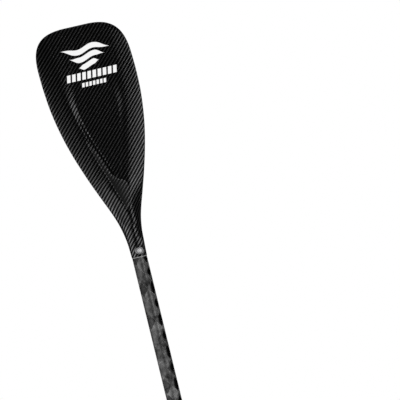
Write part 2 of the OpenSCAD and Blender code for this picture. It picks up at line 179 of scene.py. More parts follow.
class Graph:
    """A material under construction. Most methods add a node and return one of its outputs."""

    def __init__(self, name):
        self.material = bpy.data.materials.new(name)
        self.material.use_nodes = True
        self.tree = self.material.node_tree
        self.surface = self.tree.nodes["Principled BSDF"]

    def put(self, socket, value):
        if isinstance(value, Value):
            self.tree.links.new(value.socket, socket)
        elif socket.type == "RGBA":
            socket.default_value = (*value, 1)
        else:
            socket.default_value = value

    def node(self, kind, inputs=(), output=0, **settings):
        """A new node's output. inputs and output go by the sockets' names or numbers."""
        node = self.tree.nodes.new(kind)
        for key, value in settings.items():
            setattr(node, key, value)
        for key, value in dict(inputs).items():
            self.put(node.inputs[key], value)
        return Value(self, node.outputs[output])

    def math(self, operation, *values):
        return self.node("ShaderNodeMath", enumerate(values), operation=operation)

    def mix(self, share, a, b):
        """A colour between a and b."""
        return self.node("ShaderNodeMix", {0: share, 6: a, 7: b}, 2, data_type="RGBA")

    def blend(self, share, a, b):
        """A number between a and b."""
        return self.node("ShaderNodeMix", {0: share, 2: a, 3: b}, data_type="FLOAT")

    def remap(self, value, low, high, to_low=0.0, to_high=1.0, curve="SMOOTHSTEP"):
        ends = enumerate((value, low, high, to_low, to_high))
        return self.node("ShaderNodeMapRange", ends, interpolation_type=curve)

    def join(self, x, y, z=0.0):
        return self.node("ShaderNodeCombineXYZ", enumerate((x, y, z)))

    def split(self, vector):
        return [self.node("ShaderNodeSeparateXYZ", {0: vector}, axis) for axis in "XYZ"]

    def place(self):
        """The place on the object, in metres."""
        return self.node("ShaderNodeTexCoord", output="Object")

    def stretch(self, x, y, z):
        """The place, scaled by a different amount along each axis."""
        inputs = {"Vector": self.place(), "Scale": (x, y, z)}
        return self.node("ShaderNodeMapping", inputs, vector_type="POINT")

    def cloth(self):
        """The two coordinates of the Cloth map, in metres across and along."""
        return self.split(self.node("ShaderNodeUVMap", uv_map="Cloth"))[:2]

    def tube(self, radius):
        """Coordinates in metres round a tube on the Z axis, from its front, and along it."""
        x, y, z = self.split(self.place())
        return self.math("ARCTAN2", x, -y) * radius, z

    def noise(self, vector, scale, detail=3.0, roughness=0.5):
        inputs = {"Vector": vector, "Scale": scale, "Detail": detail, "Roughness": roughness}
        return self.node("ShaderNodeTexNoise", inputs, "Fac")

    def dice(self, vector):
        """A random value for each whole-numbered vector."""
        return self.node("ShaderNodeTexWhiteNoise", {"Vector": vector}, "Value", noise_dimensions="3D")

    def cells(self, scale):
        """Distance from the middle of the nearest of many random cells."""
        return self.node("ShaderNodeTexVoronoi", {"Vector": self.place(), "Scale": scale}, "Distance")

    def bump(self, height, strength, distance):
        inputs = {"Strength": strength, "Distance": distance, "Height": height}
        self.put(self.surface.inputs["Normal"], self.node("ShaderNodeBump", inputs))

    def tangent(self, **direction):
        """Gives the surface's fibres a direction to be measured from."""
        self.put(self.surface.inputs["Tangent"], self.node("ShaderNodeTangent", **direction))

    def finish(self, **inputs):
        for key, value in inputs.items():
            self.put(self.surface.inputs[key.replace("_", " ")], value)
        return self.material


def grey(shade):
    return (shade, shade, shade)


def scaled(colour, factor):
    return tuple(c * factor for c in colour)


# ---- the mark on the power face ----

BAR_SHARE, BAR_LEAN = 0.68, 0.25  # a bar's width as a share of the pitch, and its slant
WAVE_REACH = (0.5, 0.36, 0.22)  # of each stroke from its middle, the top one first, as shares of the length
WAVE_COUNT, WAVE_SWELL = 1.5, 0.28  # waves in the length, and their height as a share of the pitch


def bars(x, y, count, pitch, height):
    """1 inside a row of slanted bars centred on the origin."""
    x = x - y * BAR_LEAN
    bar = abs((x / pitch + (count % 2) / 2).fract() - 0.5) < BAR_SHARE / 2
    return bar * (abs(x) < count * pitch / 2) * (abs(y) < height / 2)


def waves(g, x, y, length, pitch, stroke):
    """1 inside three wavy strokes, one above another, the lowest the shortest."""
    swell = (x * (2 * math.pi * WAVE_COUNT / length)).sine() * (pitch * WAVE_SWELL)
    total = 0.0
    for k, reach in enumerate(WAVE_REACH):
        thick = g.remap(abs(x), reach * length / 2, reach * length, stroke / 2, 0)
        total = total + (abs(y + (k - 1) * pitch - swell) < thick)
    return total


def mark(g, across, along, height):
    """A made-up printed mark: waves over two rows of slanted bars. height is how far up the cloth it is."""
    x, y = across - 6 * MM, along - height
    crest = waves(g, x, y, length=96 * MM, pitch=15 * MM, stroke=10 * MM)
    row = bars(x, y + 35 * MM, count=10, pitch=10 * MM, height=14 * MM)
    short_row = bars(x, y + 52 * MM, count=7, pitch=7 * MM, height=8 * MM)
    return (crest + row + short_row).at_most(1.0)


# ---- carbon ----

TOW = 2.05 * MM  # width of one tow of the blade's cloth
TUBE_TOWS = 36  # round the extension
# the warp tows painted as lit, then the weft tows painted as in shade, each a lighter and a darker tone of
# one carbon, and the grooves between them
LIT_WARP_LIGHT, LIT_WARP_DARK = (0.62, 0.62, 0.63), (0.38, 0.38, 0.385)
SHADED_WEFT_LIGHT, SHADED_WEFT_DARK = grey(0.014), grey(0.006)
GROOVE = grey(0.004)
# colours of a patch of the face that is painted darker and smooth: where it thins out, and in its middle
SMOOTH_DARK_THIN, SMOOTH_DARK_FULL = grey(0.004), grey(0.011)
WHITE_INK = grey(0.9)
FIBRES, FIBRE_REACH = 9.0, 0.35  # across a tow, and how little they change along it


def twill_material(name, tow, tube_r=None, mark_height=None):
    """Two-by-two carbon twill under a clear coat: tows over two and under two, each row a step on.

    It lies round a tube of radius tube_r, or else on the piece's Cloth map.
    """
    g = Graph(name)
    across, along = g.tube(tube_r) if tube_r else g.cloth()
    u, v = across / tow, along / tow
    i, j = u.floor(), v.floor()
    warp = (i - j) % 4.0 < 1.5
    # how far along its float the tow on top is, 0 to 1, and how far across the tow
    warp_run, weft_run = (v - i + 1.0) % 4.0, (u - j - 2.0) % 4.0
    run = g.blend(warp, weft_run, warp_run) * 0.5
    width = g.blend(warp, v.fract(), u.fract())
    crown, round_top = (run * math.pi).sine(), (width * math.pi).sine()
    height = round_top.at_least(0.001) ** 0.5 * (crown * 0.5 + 0.5)
    # fine fibres along each tow, and each tow a little lighter or darker
    fibre_warp = g.noise(g.join(u * FIBRES, v * FIBRE_REACH), 1.0, 2.0)
    fibre_weft = g.noise(g.join(u * FIBRE_REACH, v * FIBRES), 1.0, 2.0)
    fibre = g.blend(warp, fibre_weft, fibre_warp)
    tow_tone = g.dice(g.join(g.blend(warp, 0.0, i), g.blend(warp, j, 0.0), warp))
    tone = fibre * 0.6 + tow_tone * 0.4
    # the warp tows get the colours painted as lit, the weft tows the colours painted as in shade, though both
    # are the same carbon
    light, dark = g.mix(tone, LIT_WARP_DARK, LIT_WARP_LIGHT), g.mix(tone, SHADED_WEFT_DARK, SHADED_WEFT_LIGHT)
    # painted highlight: each warp float is brightest at its crown and fades to the shaded weft colour towards
    # its ends
    light = g.mix(crown.at_least(0.001) ** 1.6, SHADED_WEFT_DARK, light)
    colour = g.mix(g.remap(height, 0.0, 0.45), GROOVE, g.mix(warp, dark, light))
    # a patch of the power face is painted darker and smooth, with less metal and more coat: the ramp below
    # the scoop and up its left rail
    darkened = g.node("ShaderNodeAttribute", output="Fac", attribute_name="Smooth_dark")
    colour = g.mix(darkened ** 0.5, colour, g.mix(darkened, SMOOTH_DARK_THIN, SMOOTH_DARK_FULL))
    metal, rough, bare = g.remap(darkened, 0.0, 0.3, 1.0, 0.4), g.blend(warp, 0.24, 0.15), 1.0 - darkened
    if mark_height is not None:
        white = mark(g, across, along, mark_height)
        colour = g.mix(white, colour, WHITE_INK)
        metal, rough, bare = g.blend(white, metal, 0.0), g.blend(white, rough, 0.5), bare * (1.0 - white)
    g.bump(height * bare, 0.35, 0.25 * MM)
    if tube_r:
        g.tangent(direction_type="RADIAL", axis="Z")
    else:
        g.tangent(direction_type="UV_MAP", uv_map="Cloth")
    return g.finish(
        Base_Color=colour, Metallic=metal, Roughness=rough, Anisotropic=0.9,
        Anisotropic_Rotation=g.blend(warp, 0.25, 0.0), Specular_IOR_Level=0.3,
        Coat_Weight=g.blend(darkened, 0.15, 0.25), Coat_Roughness=0.06, Coat_IOR=1.5,
    )


PAIR_PITCH = 61 * MM  # along the shaft, from one pair of tapes to the next
PAIRS_ROUND = 2
TAPE_SHIFT = 9 * MM  # of a crossing, round the shaft from its front
TAPE_LIGHT, TAPE_DARK, TAPE_BLACK, TAPE_SEAM = grey(0.47), grey(0.06), grey(0.008), grey(0.9)


def wound_material(name, radius):
    """Wide carbon tapes wound in two directions, over and under each other in long diamonds."""
    g = Graph(name)
    turned_by, along = g.tube(radius)
    turned_by = turned_by - TAPE_SHIFT
    pairs = PAIRS_ROUND / (2 * math.pi * radius)
    lean = math.atan(1 / (pairs * PAIR_PITCH)) / (2 * math.pi)
    wander = (g.noise(g.place(), 45.0, 3.0) - 0.5) * 0.35
    # pairs of tapes counted across each direction, then the tapes themselves
    a, b = turned_by * pairs + along / PAIR_PITCH, along / PAIR_PITCH - turned_by * pairs
    tapes_a, tapes_b = a * 2.0, b * 2.0 + wander
    i, j = tapes_a.floor(), tapes_b.floor()
    first = (i + j) % 2.0 < 0.5
    tape = g.dice(g.join(i, j, first))
    cloud = g.noise(g.place(), 110.0, 5.0, 0.7)
    fibre_a = g.noise(g.join(a * 130.0, b * 5.0), 1.0, 3.0, 0.6)
    fibre_b = g.noise(g.join(b * 130.0, a * 5.0), 1.0, 3.0, 0.6)
    fibre = g.blend(first, fibre_b, fibre_a)
    tone = tape * 0.35 + (cloud * 1.2 + fibre * 0.3)
    colour = g.mix(g.remap(tone, 0.7, 1.16, curve="LINEAR"), TAPE_DARK, TAPE_LIGHT)
    colour = g.mix(first * 0.45, colour, TAPE_DARK)
    # every second column of these diamonds is painted black where it turns away from the camera, by Layer
    # Weight, as painted shade where the tapes' gloss fades; a little short of the diamond's rim and shorter
    # still in every second row
    column, row = (i - j) % 4.0, (i + j) % 4.0
    facing = g.node("ShaderNodeLayerWeight", output="Facing")
    edge_a, edge_b = abs(tapes_a.fract() - 0.5), abs(tapes_b.fract() - 0.5)
    rim = edge_a.at_least(edge_b) + row * 0.07
    black = g.remap(facing, 0.06, 0.2) * (column < 0.5) * g.remap(rim, 0.47, 0.41)
    colour = g.mix(black, colour, TAPE_BLACK)
    seam = g.remap(edge_a, 0.47, 0.485) * (i % 2.0 < 0.5)
    colour = g.mix(seam * g.remap(cloud, 0.35, 0.65, 0.1, 0.9), colour, TAPE_SEAM)
    g.bump(fibre + seam * 2.0, 0.4, 0.06 * MM)
    g.tangent(direction_type="RADIAL", axis="Z")
    return g.finish(
        Base_Color=colour, Metallic=0.85, Roughness=g.blend(seam, 0.27, 0.6), Anisotropic=0.93,
        Anisotropic_Rotation=g.blend(first, lean, 1 - lean),
        # the same painted shade takes the gloss's tint down to black too
        Specular_Tint=g.mix(black, grey(1), grey(0.03)),
    )


# ---- plastic, metal, foam, rubber and the floor ----

ROOM_GLOSS, FLOOR_GLOSS = 0.03, 0.06  # how bright the room and the floor are to what mirrors them


def moulded_material(name, colour, rough, grain, vary, depth):
    """Moulded plastic: a fine spark grain, flow-dark patches and pale scuffs."""
    g = Graph(name)
    fine, broad = g.noise(g.place(), grain, 4.0, 0.6), g.noise(g.place(), grain / 14, 3.0)
    scuff = g.remap(g.noise(g.stretch(1.0, 1.0, 0.25), grain / 5, 5.0, 0.7), 0.66, 0.78)
    tone = fine * 0.5 + broad * 0.5
    base = g.mix(g.remap(tone, 0.35, 0.65), scaled(colour, 1 - vary), scaled(colour, 1 + vary))
    g.bump(fine, 0.5, depth)
    return g.finish(Base_Color=g.mix(scuff * 0.12, base, grey(0.5)),
                    Roughness=g.remap(tone, 0.3, 0.7, rough * 0.85, rough * 1.2, "LINEAR"))


def metal_material(name, colour, rough, along, vary, metallic=1.0):
    """Metal with fine brushed lines. along scales the place, so the smallest is the way the lines run."""
    g = Graph(name)
    lines, cloud = g.noise(g.stretch(*along), 900.0, 4.0, 0.7), g.noise(g.place(), 150.0, 2.0)
    tone = lines * 0.6 + cloud * 0.4
    base = g.mix(g.remap(tone, 0.3, 0.7), scaled(colour, 1 - vary), colour)
    g.bump(lines, 0.3, 0.004 * MM)
    return g.finish(Base_Color=base, Metallic=metallic,
                    Roughness=g.remap(tone, 0.3, 0.7, rough * 0.8, rough * 1.3, "LINEAR"))


def foam_material(name, colour, cell):
    """Closed-cell foam: small round cells with thin darker walls."""
    g = Graph(name)
    cells = g.cells(1 / cell)
    shade = g.remap(cells * 0.7 + g.noise(g.place(), 40.0) * 0.4, 0.2, 0.8)
    g.bump(cells, 0.6, 0.2 * MM)
    return g.finish(Base_Color=g.mix(shade, colour, scaled(colour, 0.75)),
                    Roughness=g.blend(shade, 0.8, 0.95))


def rubber_material(name, colour, pebble):
    """Soft grip with a pebbled skin, worn a little paler on the tops."""
    g = Graph(name)
    tops = 1.0 - g.cells(1 / pebble)
    worn = g.remap(tops, 0.5, 0.95) * g.noise(g.place(), 60.0, 4.0)
    g.bump(tops, 0.8, 0.15 * MM)
    return g.finish(Base_Color=g.mix(worn, colour, scaled(colour, 2)), Roughness=g.blend(worn, 0.85, 0.6))


def floor_material():
    """Pale and matte, but dark to what mirrors it, like the room."""
    g = Graph("floor")
    tone = g.noise(g.place(), 3.0)
    pale = g.mix(tone, (0.855, 0.855, 0.85), (0.865, 0.865, 0.86))
    mirrored = g.node("ShaderNodeLightPath", output="Is Glossy Ray")
    return g.finish(Base_Color=g.mix(mirrored, pale, grey(FLOOR_GLOSS)), Specular_IOR_Level=0.1,
                    Roughness=g.remap(tone, 0.2, 0.8, 0.75, 0.85, "LINEAR"))


# ---- mesh helpers ----


def build(name, points, faces, material, uvs=None, sharp=40):
    """A mesh object with smooth shading. uvs gives each vertex its place on the Cloth map, in metres."""
    mesh = bpy.data.meshes.new(name)
    mesh.from_pydata([tuple(p) for p in points], [], [tuple(f) for f in faces])
    mesh.polygons.foreach_set("use_smooth", [True] * len(mesh.polygons))
    if uvs is not None:
        layer = mesh.uv_layers.new(name="Cloth")
        corner = np.zeros(len(mesh.loops), int)
        mesh.loops.foreach_get("vertex_index", corner)
        layer.data.foreach_set("uv", np.asarray(uvs, float)[corner].ravel())
    mesh.materials.append(material)
    mesh.validate()
    mesh.set_sharp_from_angle(angle=math.radians(sharp))
    piece = bpy.data.objects.new(name, mesh)
    bpy.context.scene.collection.objects.link(piece)
    return piece


def settle(piece, body, node):
    """Rides on a body and stands for a CAD node, which it hides."""
    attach(piece, body)
    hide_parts(node)


def grid_faces(rows, cols, start, flip):
    quads = []
    for j in range(rows - 1):
        for i in range(cols - 1):
            p = start + j * cols + i
            quad = (p, p + 1, p + cols + 1, p + cols)
            quads.append(quad[::-1] if flip else quad)
    return quads


def slab(outer, inner, flip):
    """Points and faces of a closed sheet between two grids of rows by cols points."""
    rows, cols = outer.shape[:2]
    size = rows * cols
    faces = grid_faces(rows, cols, 0, flip) + grid_faces(rows, cols, size, not flip)
    rim = list(range(cols - 1))
    rim += [j * cols + cols - 1 for j in range(rows - 1)]
    rim += [(rows - 1) * cols + i for i in range(cols - 1, 0, -1)]
    rim += [j * cols for j in range(rows - 1, 0, -1)]
    for k, p in enumerate(rim):
        q = rim[(k + 1) % len(rim)]
        quad = (p, p + size, q + size, q)
        faces.append(quad[::-1] if flip else quad)
    points = np.concatenate([outer.reshape(-1, 3), inner.reshape(-1, 3)])
    return points, faces


# ---- the blade's shape: the same rules as the CAD, in millimetres from the neck's end, drawn finer ----


def knots(table, t):
    """A cubic through (place, value) knots, each knot's slope being the chord across it."""
    xs, ys = np.array(table, float).T
    i = np.clip(np.searchsorted(xs, t, side="right") - 1, 0, len(xs) - 2)
    before, after = np.maximum(np.arange(len(xs)) - 1, 0), np.minimum(np.arange(len(xs)) + 1, len(xs) - 1)
    slopes = (ys[after] - ys[before]) / (xs[after] - xs[before])
    w = xs[i + 1] - xs[i]
    u = np.clip((t - xs[i]) / w, 0, 1)
    v, c = u ** 2, u ** 3
    return ((2 * c - 3 * v + 1) * ys[i] + (c - 2 * v + u) * w * slopes[i]
            + (3 * v - 2 * c) * ys[i + 1] + (c - v) * w * slopes[i + 1])


def ease(a, b, t):
    """0 below a, 1 above b, smooth between; a and b may meet."""
    u = np.clip((t - a) / np.maximum(b - a, 1e-6), 0, 1)
    return u * u * (3 - 2 * u)


def over(span, t):
    return ease(*span, t)


def ramp(a, b, t):
    """Like ease, but straighter in the middle."""
    u = np.clip((t - a) / (b - a), 0, 1)
    return 0.5 * u + 0.5 * u * u * (3 - 2 * u)


TIP_CUT = 0.3  # from the skins' tip to the end of the outline's own curve
RING_STEP = 0.2  # from the ring's surface out to the neck's
BLADE_LEN = (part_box("blade_face_skin")[1].z - NECK_Z) / MM + TIP_CUT
HALF_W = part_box("blade_face_skin")[1].x / MM
NECK_R = RING_R / MM + RING_STEP
WIDE_T, TIP_T = 0.816 * BLADE_LEN, BLADE_LEN - TIP_CUT  # places of the widest row and of the tip
EDGE_T, SKIN_T, BOND_W, RAKE = 3.2, 1.0, 1.2, math.radians(10)
LEAN_T, TIP_ROUND = 14, 12
LEAN_SPAN = (16, 50)  # upright neck to leaning blade
EDGE_SPAN = (20, 90)  # round neck to thin edge
RIDGE_SPAN = (45, 105)  # round ridge to a sharper one
RAIL_SPAN = (62, 125)  # one ridge to two rails
BACK_SPAN = (30, 150)  # round back to a flatter one
END_POWER, END_ROOT, BLUFF_POWER, RIDGE_POWER, BACK_POWER, FLANK_POWER = 2.9, 3.6, 6, 1.2, 0.6, 1.25
CREST_ROUND, RIB_W, SCOOP_LOW = 1.5, 13, 120
# (place, value) knots: half width as shares, then heights, places across and widths in millimetres
FLARE = [(0, 0), (0.07, 0.016), (0.13, 0.044), (0.19, 0.104), (0.25, 0.196), (0.32, 0.323), (0.44, 0.532),
         (0.57, 0.727), (0.69, 0.865), (0.82, 0.961), (0.94, 0.997), (1, 1)]
CREST_H = [(0, 14.3), (12, 14.3), (24, 14.6), (45, 20), (70, 23), (95, 20.5), (120, 15), (145, 10),
           (165, 8.6), (200, 8), (260, 7), (336, 5), (450, 3)]
CREST_X = [(60, 0), (73, 1), (110, 8), (150, 18), (166, 23), (212, 36), (260, 48), (296, 55), (340, 59),
           (450, 62)]
FLOOR_H = [(120, 15), (143, 9.6), (152, 5.6), (164, 3.6), (185, 3), (229, 2.8), (289, 2.8), (336, 3),
           (450, 3)]
BAND_W = [(120, 4), (150, 9), (161, 10), (199, 8.5), (241, 5), (300, 4), (450, 4)]
WALL_W = [(120, 5), (160, 7), (229, 8), (300, 14), (400, 40), (450, 50)]
BACK_H = [(0, 14.3), (12, 14.3), (24, 14), (36, 12), (48, 9), (60, 6.3), (75, 5), (100, 4.7),
          (300, 4.2), (450, 3.4)]
RIB_H = [(50, 0), (110, 2.4), (200, 2), (330, 0), (450, 0)]


def half_width(t):
    end = np.clip((t - WIDE_T) / (BLADE_LEN - WIDE_T), 0, 1)
    flare = NECK_R + (HALF_W - NECK_R) * knots(FLARE, t / WIDE_T)
    return np.where(t < WIDE_T, flare, HALF_W * (1 - end ** END_POWER) ** (1 / END_ROOT))


def set_back(t):
    return math.tan(RAKE) * (t - LEAN_T) * over(LEAN_SPAN, t)


def bluff(c):
    return 1 - (1 - c) ** BLUFF_POWER


def tip_bluff(t):
    return bluff(np.sqrt(np.clip((TIP_T - t) / TIP_ROUND, 0, 1)))


def edge(t):
    return EDGE_T / 2 * over(EDGE_SPAN, t)


def tip_fade(t):
    return np.where(t < WIDE_T, 1, half_width(t) / HALF_W)


def panel(t, s):
    """Height over the edge, s from the middle: flanks up to two crests, and the scoop between them."""
    x, w, top = knots(CREST_X, t), half_width(t), knots(CREST_H, t) - edge(t)
    out = (s - x + np.sqrt((s - x) ** 2 + CREST_ROUND ** 2)) / 2
    flank = top * (1 - np.clip(out / np.maximum(1, w - x), 0, 1) ** FLANK_POWER)
    inner = x - knots(BAND_W, t)
    depth = np.where(t < SCOOP_LOW, 0, knots(CREST_H, t) - knots(FLOOR_H, t))
    return flank - np.maximum(depth, 0) * (1 - ramp(inner - knots(WALL_W, t), inner, s))


def front(t, a):
    """Height of the power face in front of the edge, at angle a across the blade."""
    c, w = np.cos(a), half_width(t)
    neck = (knots(CREST_H, t) - edge(t)) * c ** (1 + RIDGE_POWER * over(RIDGE_SPAN, t))
    blade = panel(t, w * np.abs(np.sin(a)))
    u = over(RAIL_SPAN, t)
    return tip_bluff(t) * (edge(t) * bluff(c) + (neck * (1 - u) + blade * u) * tip_fade(t))


def back(t, a):
    """Height of the back behind the edge."""
    c, x = np.cos(a), half_width(t) * np.sin(a)
    dome = (knots(BACK_H, t) - edge(t)) * tip_fade(t) * c ** (1 + BACK_POWER * over(BACK_SPAN, t))
    rib = knots(RIB_H, t) * np.exp(-(x / RIB_W) ** 2) * ease(0, 0.5, c)
    return tip_bluff(t) * (edge(t) * bluff(c) + dome + rib)


def skin_grid(t, a, side, depth, off=0.0):
    """A skin's points in metres. side is -1 for the power face and 1 for the back; depth 1 is the inside."""
    t, a = np.meshgrid(t, a, indexing="ij")
    c = np.maximum(np.cos(a), 0)
    flat = over(EDGE_SPAN, t)
    bond = SKIN_T + BOND_W * flat
    inner_end = WIDE_T + (t - WIDE_T) * (TIP_T - bond - WIDE_T) / (TIP_T - WIDE_T)
    z = np.where((t < WIDE_T) | (depth == 0), t, inner_end)
    h = front(t, a) if side < 0 else back(t, a)
    skin = SKIN_T * ((1 - flat) * c + flat * bluff(c)) * tip_bluff(t)
    x = (half_width(t) - depth * bond) * np.sin(a)
    y = set_back(z) + side * (h - depth * skin - off)
    return np.stack([x, y, z], -1) * MM + np.array([0, 0, NECK_Z])


# where the darker, smooth patch ends on the ramp's right, and the stretches over which it begins and fades
SMOOTH_DARK_END = [(90, 0), (107, 8), (140, 13), (150, 0), (161, -11), (199, -25), (241, -40), (450, -60)]
SMOOTH_DARK_START, SMOOTH_DARK_FADE = (86, 100), (205, 245)


def smooth_dark_patch(t, a):
    """Where the face's cloth is painted darker and smooth, with more coat: the ramp below the scoop and up
    its left rail.
    """
    t, a = np.meshgrid(t, a, indexing="ij")
    x, rail, end = half_width(t) * np.sin(a), -knots(CREST_X, t), knots(SMOOTH_DARK_END, t)
    across = ease(rail - 1, rail + 2, x) * (1 - ease(end - 3, end + 1, x))
    return across * over(SMOOTH_DARK_START, t) * (1 - over(SMOOTH_DARK_FADE, t)) * (1 - 0.5 * ease(rail, end, x))


def cloth_map(grid):
    """Distance across from the middle column and along the middle column, for each point of a grid."""
    middle = grid.shape[1] // 2
    across = np.cumsum(np.linalg.norm(np.diff(grid, axis=1), axis=2), axis=1)
    across = np.concatenate([np.zeros((len(grid), 1)), across], axis=1)
    across -= across[:, middle:middle + 1]
    along = np.cumsum(np.linalg.norm(np.diff(grid[:, middle], axis=0), axis=1))
    along = np.concatenate([[0], along])[:, None] + np.zeros_like(across)
    return np.stack([across, along], -1)


# rows of points: even ones, then closer and closer to the tip; and columns, by angle
EVEN_END, ROW_STEP, TIP_ROWS, COLUMNS = 380, 2.5, 44, 181
# the filling's start, how far it ends before the tip, the columns left out at each side, and its gap
CORE_START, CORE_INSET, CORE_TRIM, CORE_GAP = 60, 2, 10, 0.1


def skin_rows():
    """Places along the blade, and angles across it."""
    ends = TIP_T - (TIP_T - EVEN_END) * (1 - np.linspace(0, 1, TIP_ROWS)) ** 2
    rows = np.concatenate([np.arange(0, EVEN_END, ROW_STEP), ends])
    return rows, np.radians(np.linspace(-90, 90, COLUMNS))


def blade_skin(name, side, material):
    t, a = skin_rows()
    outer, inner = skin_grid(t, a, side, 0), skin_grid(t, a, side, 1)
    points, faces = slab(outer, inner, side > 0)
    cloth = cloth_map(outer).reshape(-1, 2)
    skin = build(name, points, faces, material, np.concatenate([cloth, cloth]), 50)
    # the patch that the face's material paints darker and smooth, on the power face only
    darkened = smooth_dark_patch(t, a).ravel() * (side < 0)
    layer = skin.data.attributes.new("Smooth_dark", "FLOAT", "POINT")
    layer.data.foreach_set("value", np.concatenate([darkened, darkened * 0]))
    return skin


def blade_filling(name, material):
    """The foam between the skins, a hair short of both."""
    t, a = skin_rows()
    t, a = t[(t > CORE_START) & (t < TIP_T - CORE_INSET)], a[CORE_TRIM:-CORE_TRIM]
    points, faces = slab(skin_grid(t, a, -1, 1, CORE_GAP), skin_grid(t, a, 1, 1, CORE_GAP), False)
    return build(name, points, faces, material)


def cloth_height(t):
    """How far up the middle of the face's cloth a height t in the blade is, in metres."""
    rows, _ = skin_rows()
    cloth = cloth_map(skin_grid(rows, np.array([0.0]), -1, 0))
    return float(np.interp(t, rows, cloth[:, 0, 1]))


# ---- round pieces ----


def turned(name, profile, material, turn=Matrix.Identity(4), segments=128):
    """A closed (radius, height) profile turned round the Z axis, then placed by a matrix."""
    n = len(profile)
    angles = [2 * math.pi * k / segments for k in range(segments)]
    points = [turn @ Vector((r * math.cos(t), r * math.sin(t), z)) for t in angles for r, z in profile]
    faces = []
    for k in range(segments):
        m = (k + 1) % segments
        for i in range(n):
            j = (i + 1) % n
            corners = [k * n + i, m * n + i, m * n + j, k * n + j]
            # on the axis the two corners of an edge are one
            faces.append([c for q, c in enumerate(corners) if profile[(i, i, j, j)[q]][0] > 0 or q in (0, 3)])
    return build(name, points, faces, material, sharp=35)


def fillet(corner, before, after, radius, steps=4):
    """Points of a rounded corner of a profile, on the way from before to after."""
    corner = Vector(corner)
    start = corner + (Vector(before) - corner).normalized() * radius
    end = corner + (Vector(after) - corner).normalized() * radius
    shares = [k / steps for k in range(steps + 1)]
    return [tuple(start * (1 - u) ** 2 + corner * 2 * u * (1 - u) + end * u * u) for u in shares]


def rounded(profile, radii):
    """A closed profile with each corner rounded by its own radius; 0 leaves a corner as it is."""
    out = []
    for i, (corner, radius) in enumerate(zip(profile, radii)):
        before, after = profile[i - 1], profile[(i + 1) % len(profile)]
        out += fillet(corner, before, after, radius) if radius else [corner]
    return out


def neck_ring(material):
    profile = [(BORE_R + GAP, RING_LOW), (RING_R, RING_LOW), (RING_R, RING_HIGH), (BORE_R + GAP, RING_HIGH)]
    return turned("neck_ring", rounded(profile, [0.2 * MM, 0.35 * MM, 0.15 * MM, 0.15 * MM]), material)


def shaft_tube(material):
    """The wound tube, sanded thinner where the collar is bonded on."""
    sanded_r = SHAFT_R - 0.2 * MM
    profile = [(sanded_r, SHAFT_LOW), (sanded_r, CLAMP_Z), (SHAFT_R, CLAMP_Z), (SHAFT_R, SHAFT_HIGH),
               (BORE_R, SHAFT_HIGH), (BORE_R, SHAFT_LOW)]
    radii = [0.3 * MM, 0, 0.1 * MM, 0.4 * MM, 0.3 * MM, 0.3 * MM]
    return turned("shaft_tube", rounded(profile, radii), material)


def snap_button(material):
    """A turned pin with a filleted dome, hollow behind."""
    dome, wall, cap, steps = 1.2 * MM, 1.0 * MM, 2.5 * MM, 10
    quarter = [math.pi / 2 * k / steps for k in range(1, steps)]
    crown = [(BUTTON_R * 0.93 * math.sin(t), BUTTON_OUT - dome * (1 - math.cos(t))) for t in quarter]
    profile = [(0, BUTTON_OUT), *crown, (BUTTON_R * 0.98, BUTTON_OUT - 1.35 * dome),
               (BUTTON_R, BUTTON_OUT - 1.7 * dome), (BUTTON_R, BUTTON_IN), (BUTTON_R - wall, BUTTON_IN),
               (BUTTON_R - wall, BUTTON_OUT - cap), (0, BUTTON_OUT - cap)]
    towards_front = Matrix.Translation((0, 0, BUTTON_Z)) @ Matrix.Rotation(math.radians(90), 4, "X")
    return turned("button_cap", profile, material, towards_front, 96)


def button_eyelet(material):
    """An oval rim bent round the neck, with rolled edges and a short sleeve that lines the hole."""
    rim, sleeve, inner_end = 0.55 * MM, 0.6 * MM, BORE_R + 0.3 * MM
    low = EYELET_OUT - rim
    end_r = EYELET_H / 2
    straight = EYELET_W / 2 - end_r
    # share of the way from the hole to the oval, extra radius there, and distance from the shaft's axis
    section = [(0, 0, EYELET_OUT - 0.3 * MM), (0.06, 0, EYELET_OUT - 0.08 * MM), (0.18, 0, EYELET_OUT),
               (0.8, 0, EYELET_OUT), (0.94, 0, EYELET_OUT - 0.12 * MM), (1, 0, EYELET_OUT - 0.34 * MM),
               (1, 0, low), (0, sleeve, low), (0, sleeve, inner_end), (0, 0, inner_end)]
    count, points, faces = 96, [], []
    for k in range(count):
        turn = 2 * math.pi * k / count
        c, s = math.cos(turn), math.sin(turn)
        oval = Vector((c * end_r + math.copysign(straight, c) * min(1, abs(c) * 8), s * end_r))
        for share, extra, reach in section:
            x, z = Vector((c, s)) * (HOLE_R + extra) * (1 - share) + oval * share
            points.append((x, -math.sqrt(reach ** 2 - x ** 2), z + BUTTON_Z))
    n = len(section)
    for k in range(count):
        m = (k + 1) % count
        faces += [(k * n + i, m * n + i, m * n + (i + 1) % n, k * n + (i + 1) % n) for i in range(n)]
    return build("eyelet_rim", points, faces, material)


# ---- pieces that keep the CAD's shape, with their edges broken ----

EDGE_ANGLE, FLAT_ANGLE = math.radians(30), math.radians(0.5)  # an edge to break, a seam to remove
WELD_REACH = 0.002 * MM


